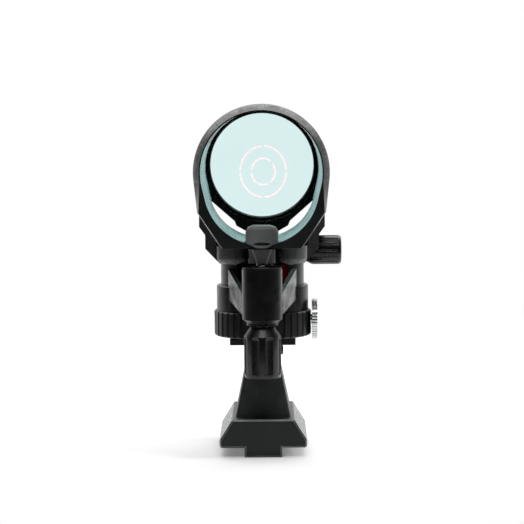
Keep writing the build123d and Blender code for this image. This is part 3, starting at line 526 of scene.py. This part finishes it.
lens_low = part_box("lens")[0] / MM
reticle_light = glow("reticle_light", (1.0, 0.84, 0.86), 1.05)
reticle_centre = Vector((RETICLE_X, lens_low.y - RETICLE_BEHIND_LENS, RETICLE_Z))
for ring, radii, width, arcs in (
    ("reticle_outer", OUTER_RADII, OUTER_WIDTH, OUTER_ARCS),
    ("reticle_inner", INNER_RADII, INNER_WIDTH, INNER_ARCS),
):
    arc_band(ring, reticle_centre, radii, width, arcs, RETICLE_DEPTH, reticle_light)


# ---- studio ---------------------------------------------------------------------------------


def area_light(name, place, aim, size, power, in_reflections=True):
    """A softbox: places and sizes in metres, power in watts."""
    light = bpy.data.lights.new(name, "AREA")
    light.shape = "RECTANGLE"
    light.size, light.size_y = size
    light.energy = power
    lamp = bpy.data.objects.new(name, light)
    lamp.location = place
    lamp.rotation_euler = (Vector(aim) - Vector(place)).to_track_quat("-Z", "Y").to_euler()
    lamp.visible_glossy = in_reflections
    scene.collection.objects.link(lamp)


def fade(tree, part, start, end, dark, bright):
    """Brightness that rises smoothly as one part of a direction goes from start to end."""
    remap = tree.nodes.new("ShaderNodeMapRange")
    remap.interpolation_type = "SMOOTHSTEP"
    remap.inputs["From Min"].default_value = start
    remap.inputs["From Max"].default_value = end
    remap.inputs["To Min"].default_value = dark
    remap.inputs["To Max"].default_value = bright
    tree.links.new(part, remap.inputs["Value"])
    return remap.outputs["Result"]


def brighter_of(tree, a, b):
    """The larger of two brightnesses."""
    larger = tree.nodes.new("ShaderNodeMath")
    larger.operation = "MAXIMUM"
    tree.links.new(a, larger.inputs[0])
    tree.links.new(b, larger.inputs[1])
    return larger.outputs["Value"]


def light_tent():
    """A world that is white to the camera, and lights from beyond the object and from overhead."""
    world = bpy.data.worlds.new("studio")
    world.use_nodes = True
    scene.world = world
    tree = world.node_tree
    background = tree.nodes["Background"]
    direction = tree.nodes.new("ShaderNodeTexCoord").outputs["Generated"]
    split = tree.nodes.new("ShaderNodeSeparateXYZ")
    tree.links.new(direction, split.inputs["Vector"])
    behind = fade(tree, split.outputs["Y"], start=0.16, end=0.92, dark=0.02, bright=1.0)
    overhead = fade(tree, split.outputs["Z"], start=0.72, end=0.97, dark=0.0, bright=1.1)
    seen = tree.nodes.new("ShaderNodeLightPath").outputs["Is Camera Ray"]
    strength = brighter_of(tree, seen, brighter_of(tree, behind, overhead))
    tree.links.new(strength, background.inputs["Strength"])
    background.inputs["Color"].default_value = (1, 1, 1, 1)


def paper_floor(radius, forward, lift, corners=96):
    """A round sheet of white paper; lift brightens it for the camera so that it meets the white world."""
    turns = [2 * math.pi * i / corners for i in range(corners)]
    mesh = bpy.data.meshes.new("floor")
    rim = [(radius * math.cos(t), forward + radius * math.sin(t), 0) for t in turns]
    mesh.from_pydata(rim, [], [tuple(range(corners))])
    sheet = bpy.data.objects.new("floor", mesh)
    scene.collection.objects.link(sheet)
    paper, shader, place = new_material("paper")
    tree = paper.node_tree
    tone = colours(paper, noise(paper, place, 40), (0.88, 0.88, 0.88), (0.9, 0.9, 0.9))
    tree.links.new(tone, shader.inputs["Base Color"])
    shader.inputs["Roughness"].default_value = 0.9
    shader.inputs["Specular IOR Level"].default_value = 0.1
    shader.inputs["Emission Color"].default_value = (1, 1, 1, 1)
    brightening = tree.nodes.new("ShaderNodeMapRange")
    brightening.inputs["To Min"].default_value = 0.0
    brightening.inputs["To Max"].default_value = lift
    seen = tree.nodes.new("ShaderNodeLightPath").outputs["Is Camera Ray"]
    tree.links.new(seen, brightening.inputs["Value"])
    tree.links.new(brightening.outputs["Result"], shader.inputs["Emission Strength"])
    mesh.materials.append(paper)


def place_camera(place_mm, down, left, roll, focal_mm):
    """A camera that looks forward, tilted down, turned left and rolled by degrees."""
    camera = bpy.data.cameras.new("camera")
    camera.sensor_width = 36
    camera.lens = focal_mm
    camera.clip_start = 0.05
    camera.clip_end = 50
    eye = bpy.data.objects.new("camera", camera)
    eye.location = Vector(place_mm) * MM
    aim = Euler((math.radians(90 - down), 0, math.radians(left))).to_matrix()
    eye.rotation_euler = (aim @ Matrix.Rotation(math.radians(roll), 3, "Z")).to_euler()
    scene.collection.objects.link(eye)
    scene.camera = eye


middle = (0, 0, 0.07)
area_light("top_box", (0, 0.5, 0.65), middle, size=(1.2, 0.5), power=4.0)
area_light("front_top_box", (0, -0.55, 0.75), middle, size=(0.5, 0.3), power=2.0)
area_light("shadow_box", (0.5, 0.0, 0.3), middle, size=(0.2, 0.2), power=1.5, in_reflections=False)
light_tent()
paper_floor(radius=0.30, forward=0.16, lift=0.18)
place_camera((2.8, -725, 128.8), down=4.67, left=0.23, roll=-0.42, focal_mm=134.2)

scene.view_settings.view_transform = "Standard"
scene.view_settings.look = "None"
